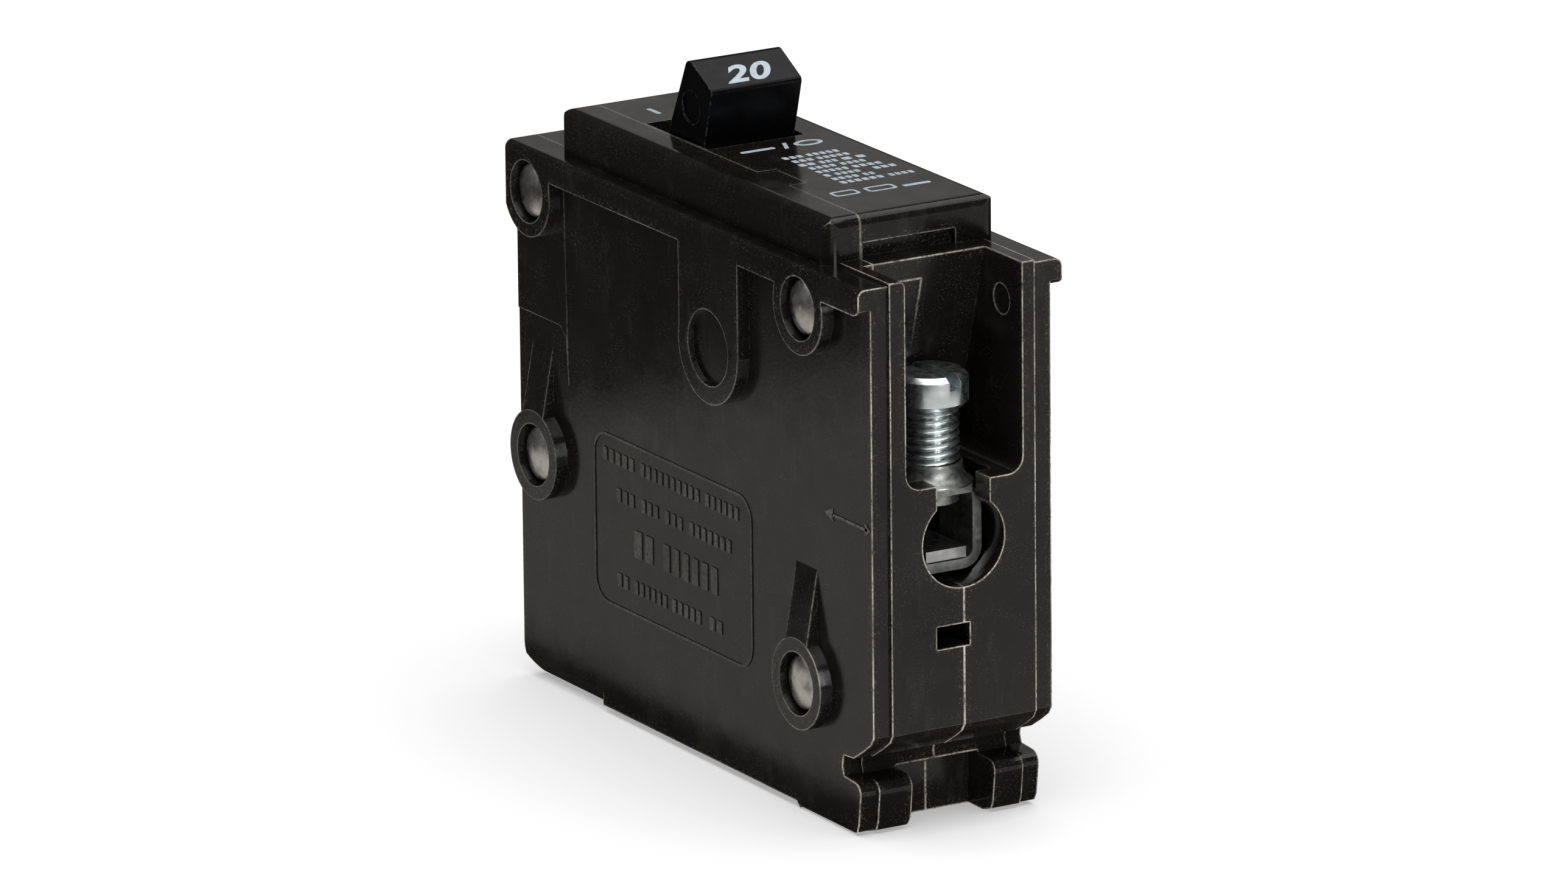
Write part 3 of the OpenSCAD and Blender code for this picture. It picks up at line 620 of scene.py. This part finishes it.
def screw_head(centre, radius, neck, top):
    """The head: a chamfered drum with an almost flat top and a sawn slot, its edges softened."""
    rim = top - RIM_DROP
    profile = [(0, neck), (radius - 0.45 * MM, neck), (radius, neck + 0.45 * MM), (radius, rim),
               (radius - 0.55 * MM, top - 0.12 * MM), (radius * 0.45, top - 0.03 * MM), (0, top)]
    bm = bmesh.new()
    revolve(bm, profile, centre)
    head = bpy.data.objects.new("head_blank", mesh_of(bm, "head_blank"))
    saw_bm = bmesh.new()
    along = Vector((math.cos(SLOT_TURN), math.sin(SLOT_TURN), 0))
    side = Vector((-along.y, along.x, 0))
    half, reach = SLOT_HALF_WIDTH, 6 * MM
    prism(saw_bm, [(-reach, -half), (reach, -half), (reach, half), (-reach, half)],
          Vector((centre.x, centre.y, top - SLOT_DROP)), along, side, reach)
    saw = bpy.data.objects.new("saw", mesh_of(saw_bm, "saw"))
    for obj in (head, saw):
        bpy.context.scene.collection.objects.link(obj)
    cut = head.modifiers.new("slot", "BOOLEAN")
    cut.operation = "DIFFERENCE"
    cut.solver = "EXACT"
    cut.object = saw
    soften = head.modifiers.new("soften", "BEVEL")
    soften.width = 0.12 * MM
    soften.segments = 3
    soften.limit_method = "ANGLE"
    soften.angle_limit = math.radians(32)
    mesh = finished_mesh(head)
    for obj in (head, saw):
        bpy.data.objects.remove(obj)
    return mesh


def make_terminal_screw():
    """The screw in place of the CAD's plain one: head, thread and dog point, lapped into one another."""
    low, high = (Vector(corner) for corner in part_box("terminal_screw"))
    centre = (low + high) / 2
    neck = high.z - HEAD_HEIGHT
    point_top = low.z + POINT_HEIGHT
    bm = bmesh.new()
    bm.from_mesh(screw_head(centre, (high.x - low.x) / 2, neck, high.z))
    add_thread(bm, centre, point_top, neck + 0.05 * MM, THREAD_RADIUS)
    revolve(bm, [(0, low.z), (2.05 * MM, low.z), (2.2 * MM, low.z + 0.15 * MM), (2.2 * MM, low.z + 0.8 * MM),
                 (2.6 * MM, point_top + 0.05 * MM), (0, point_top + 0.05 * MM)], centre)
    screw = add_piece("threaded_terminal_screw", mesh_of(bm, "threaded_terminal_screw"), "bright_zinc",
                      "terminal_screw")
    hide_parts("terminal_screw")


# ---------- numeral and printed symbols ----------

HANDLE_SLOPE = math.radians(28.5)
NUMERAL_WIDENING = 1.42


def make_numeral():
    """The rating number on the sloped top of the handle: plain digits, like those on a dial."""
    low, high = (Vector(corner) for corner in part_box("handle"))
    up = Vector((-math.cos(HANDLE_SLOPE), 0, math.sin(HANDLE_SLOPE)))
    across = Vector((0, 1, 0))
    face_middle = Vector((low.x + 10.78 * MM, 0, high.z - 1.14 * MM))
    text = bpy.data.curves.new("rating_numeral", "FONT")
    text.body = "20"
    text.align_x = "CENTER"
    text.align_y = "CENTER"
    text.size = 3.65 * MM
    text.offset = 0.11 * MM
    text.shear = 0.32
    text.extrude = 0.012 * MM
    text.resolution_u = 8
    text.space_character = 1.06
    maker = bpy.data.objects.new("numeral_maker", text)
    bpy.context.scene.collection.objects.link(maker)
    mesh = finished_mesh(maker)
    bpy.data.objects.remove(maker)
    out = across.cross(up)
    widened = NUMERAL_WIDENING * across
    turn = Matrix((widened, up, out)).transposed().to_4x4()
    place = face_middle - 0.42 * MM * across - 0.72 * MM * up + 0.02 * MM * out
    mesh.transform(Matrix.Translation(place) @ turn)
    mesh.name = "rating_numeral"
    add_piece("rating_numeral", mesh, "numeral", "handle", smooth_angle=20)


# Rows of the printed block on the escutcheon: distance from its load end, then words from y0 to y1
PRINT_ROWS = (
    (24.6, ((-1.3, 1.1), (1.7, 5.6))),
    (22.9, ((-1.1, 1.4), (2.0, 5.9))),
    (21.2, ((-1.3, 0.6), (1.3, 3.4), (4.1, 5.2), (5.9, 6.9))),
    (19.5, ((-1.0, 2.2), (2.9, 5.9))),
    (17.8, ((-1.1, 2.7), (3.4, 6.9))),
    (16.1, ((-1.2, -0.5), (0.2, 3.2), (5.0, 7.7))),
    (14.4, ((-1.2, 2.0), (2.7, 4.0))),
    (12.7, ((-1.2, 4.1), (4.9, 7.9))),
)
INK = 0.02 * MM


def make_top_marks():
    """Printed marks on the escutcheon: the bar and ring of a switch, and short bars for small print."""
    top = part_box("base")[1][2]
    load_end = 27.6 * MM
    across, up = Vector((0, 1, 0)), Vector((-1, 0, 0))

    def at(x):
        return Vector((x, 0, top - 0.004 * MM))

    bm = bmesh.new()
    for back, words in PRINT_ROWS:
        for word in words:
            for y0, y1 in dashes(*word, 0.82, 0.24):
                prism(bm, rounded_box(y0 * MM, -0.5 * MM, y1 * MM, 0.5 * MM, 0.12 * MM, 2),
                      at(load_end - back * MM), across, up, INK)
    # ring for off, with a plain dash and stroke before it, and the bar for on at the line end
    off_x, on_x = -1.6 * MM, -22.3 * MM
    ring_prism(bm, ellipse(4.6 * MM, 0, 1.75 * MM, 1.1 * MM), ellipse(4.6 * MM, 0, 1.2 * MM, 0.62 * MM),
               at(off_x), across, up, INK)
    prism(bm, [(1.1 * MM, -1.0 * MM), (1.6 * MM, -1.0 * MM), (2.5 * MM, 1.2 * MM), (2.0 * MM, 1.2 * MM)],
          at(off_x), across, up, INK)
    prism(bm, rounded_box(-3.9 * MM, -0.35 * MM, 0.4 * MM, 0.35 * MM, 0.3 * MM), at(off_x), across, up, INK)
    prism(bm, rounded_box(-3.0 * MM, -1.3 * MM, -2.4 * MM, 1.3 * MM, 0.25 * MM), at(on_x), across, up, INK)
    # two blank approval boxes
    for x, y, half in ((18.8, -3.0, 1.6), (19.0, 1.3, 1.8)):
        ring_prism(bm, rounded_box((y - half) * MM, -0.95 * MM, (y + half) * MM, 0.95 * MM, 0.5 * MM),
                   rounded_box((y - half + 0.35) * MM, -0.62 * MM, (y + half - 0.35) * MM, 0.62 * MM,
                               0.3 * MM),
                   at(x * MM), across, up, INK)
    prism(bm, rounded_box(3.8 * MM, -0.35 * MM, 7.2 * MM, 0.35 * MM, 0.2 * MM),
          at(19.6 * MM), across, up, INK)
    add_piece("printed_symbols", mesh_of(bm, "printed_symbols"), "print", "case")


# Rows of the raised marks on the near side: height above the foot, half height, words from x0 to x1
RELIEF_ROWS = (
    (30.0, 0.75, ((-19.6, -12.9), (-11.4, 1.2), (2.6, 9.6))),
    (25.9, 0.75, ((-16.7, -12.9), (-11.3, -7.7), (-6.2, -2.5), (-0.9, 7.9))),
    (21.2, 1.55, ((-12.9, -8.9), (-6.6, 5.0))),
    (16.2, 0.75, ((-16.7, -14.4), (-13.0, -6.0), (-4.8, 1.3), (3.2, 5.9))),
)
RELIEF = 0.10 * MM


def make_side_relief():
    """Raised frame, short bars in place of letters, and the two-way arrow of the strip gauge."""
    face_y = 11.2 * MM
    across, up = Vector((1, 0, 0)), Vector((0, 0, 1))
    place = Vector((0, -face_y + 0.02 * MM, 0))
    depth = RELIEF + 0.02 * MM
    bm = bmesh.new()
    frame_outer = rounded_box(-21.65 * MM, 12.9 * MM, 12.45 * MM, 32.45 * MM, 2.8 * MM, 8)
    frame_inner = rounded_box(-21.35 * MM, 13.2 * MM, 12.15 * MM, 32.15 * MM, 2.5 * MM, 8)
    ring_prism(bm, frame_outer, frame_inner, place, across, up, depth)
    for z, half, words in RELIEF_ROWS:
        for word in words:
            for x0, x1 in dashes(*word, 0.9 * half + 0.55, 0.3 * half + 0.25):
                prism(bm, rounded_box(x0 * MM, (z - half) * MM, x1 * MM, (z + half) * MM, 0.15 * MM, 2),
                      place, across, up, depth)
    arrow_z = 34.9
    prism(bm, [(29.4 * MM, (arrow_z - 0.16) * MM), (36.7 * MM, (arrow_z - 0.16) * MM),
               (36.7 * MM, (arrow_z + 0.16) * MM), (29.4 * MM, (arrow_z + 0.16) * MM)],
          place, across, up, depth)
    for tip, back in ((27.9, 29.6), (37.3, 36.2)):
        corners = [(tip * MM, arrow_z * MM), (back * MM, (arrow_z + 0.75) * MM),
                   (back * MM, (arrow_z - 0.75) * MM)]
        prism(bm, corners if tip > back else corners[::-1], place, across, up, depth)
    add_piece("side_relief", mesh_of(bm, "side_relief"), "relief", "case", smooth_angle=20)


bpy.context.scene.view_settings.view_transform = "Standard"
make_camera()
make_world()
make_lights(make_stage())
dress_cad_nodes()
make_terminal_screw()
make_numeral()
make_top_marks()
make_side_relief()
